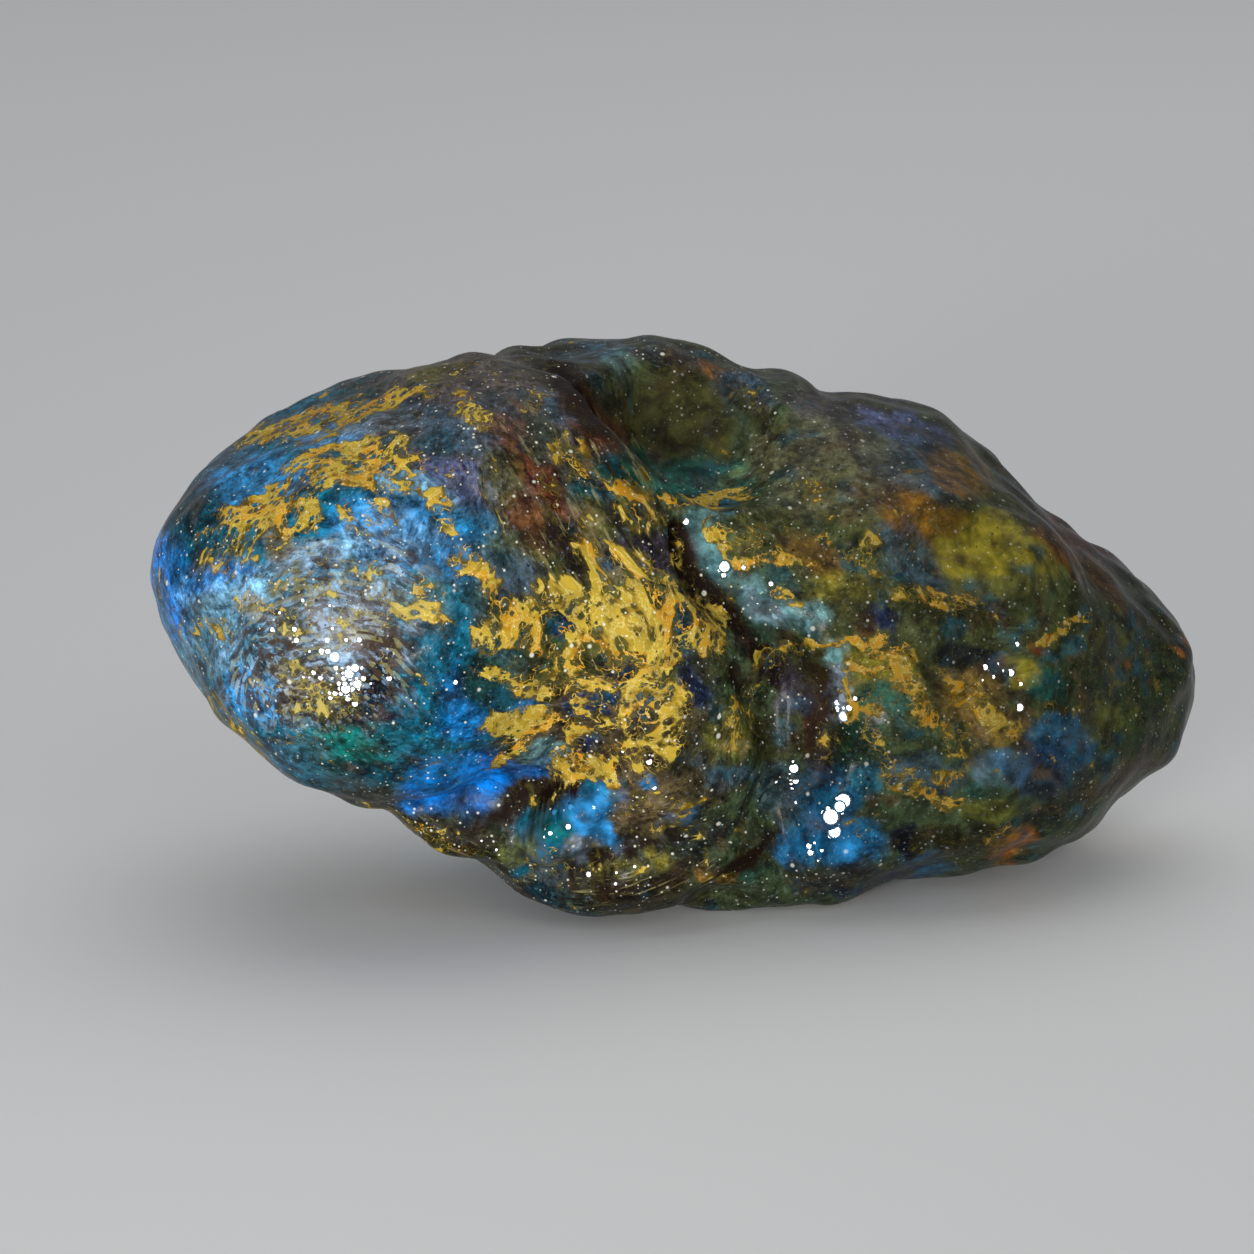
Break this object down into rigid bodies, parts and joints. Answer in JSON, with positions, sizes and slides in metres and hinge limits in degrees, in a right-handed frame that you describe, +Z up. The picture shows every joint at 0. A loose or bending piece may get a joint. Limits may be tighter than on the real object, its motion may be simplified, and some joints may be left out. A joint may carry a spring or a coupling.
{
  "type": "rough blue amber",
  "caption": "Hand-sized rough lump of blue amber, one solid piece with a folded, weathered skin, resting on its own worn underside.",
  "frame": {"origin": "middle of the footprint box, on the surface that the lump rests on", "axes": "+Z up, +X along the lump from its big round head towards its tail, -Y the side with the long crease that the picture shows"},
  "size_m": [0.0701, 0.0384, 0.0362],
  "materials": {
    "blue_amber": "weathered fossil resin with a wet gloss: mottled blue, teal, olive and brown under a lacy ochre crust, with fine pale specks and pits"
  },
  "bodies": {
    "root": {"amber": "blue_amber"}
  },
  "joints": []
}
